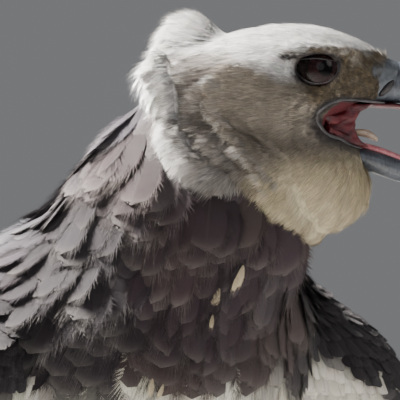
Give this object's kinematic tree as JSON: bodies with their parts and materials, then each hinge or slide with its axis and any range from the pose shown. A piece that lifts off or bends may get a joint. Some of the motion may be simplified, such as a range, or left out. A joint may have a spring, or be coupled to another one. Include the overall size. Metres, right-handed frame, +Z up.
{
  "type": "harpy eagle, life-size still model",
  "caption": "A life-size standing harpy eagle with folded wings, bill open and head turned to its left.",
  "frame": {"origin": "on the floor, under the middle of the model's box", "axes": "+Z up; +X is the way that the bill points; the breast faces between +X and -Y"},
  "size_m": [0.6128, 0.6298, 0.8083],
  "materials": {
    "pale_plumage": "soft pale grey to white feathers with fine barbs",
    "slate_plumage": "charcoal feathers with a slate sheen and hairy tips",
    "white_plumage": "white to cream body feathers",
    "barred_plumage": "feathers barred dark grey on pale",
    "cere_skin": "bare bluish grey skin",
    "bill_horn": "smooth blue grey to black horn",
    "mouth_skin": "moist red skin",
    "eye": "very dark brown, wet and clear",
    "leg_scale": "yellow scutes and scales",
    "claw_horn": "smooth black horn"
  },
  "bodies": {
    "root": {"bill_lower": "bill_horn", "bill_upper": "bill_horn", "cere": "cere_skin", "claw_hallux_left": "claw_horn", "claw_hallux_right": "claw_horn", "claw_inner_left": "claw_horn", "claw_inner_right": "claw_horn", "claw_middle_left": "claw_horn", "claw_middle_right": "claw_horn", "claw_outer_left": "claw_horn", "claw_outer_right": "claw_horn", "crest": "pale_plumage", "eye_left": "eye", "eye_right": "eye", "head": "pale_plumage", "mouth_lining": "mouth_skin", "neck": "slate_plumage", "tail": "barred_plumage", "tarsus_left": "leg_scale", "tarsus_right": "leg_scale", "thigh_left": "barred_plumage", "thigh_right": "barred_plumage", "toe_hallux_left": "leg_scale", "toe_hallux_right": "leg_scale", "toe_inner_left": "leg_scale", "toe_inner_right": "leg_scale", "toe_middle_left": "leg_scale", "toe_middle_right": "leg_scale", "toe_outer_left": "leg_scale", "toe_outer_right": "leg_scale", "tongue": "mouth_skin", "torso": "white_plumage", "wing_left": "slate_plumage", "wing_right": "slate_plumage"}
  },
  "joints": []
}
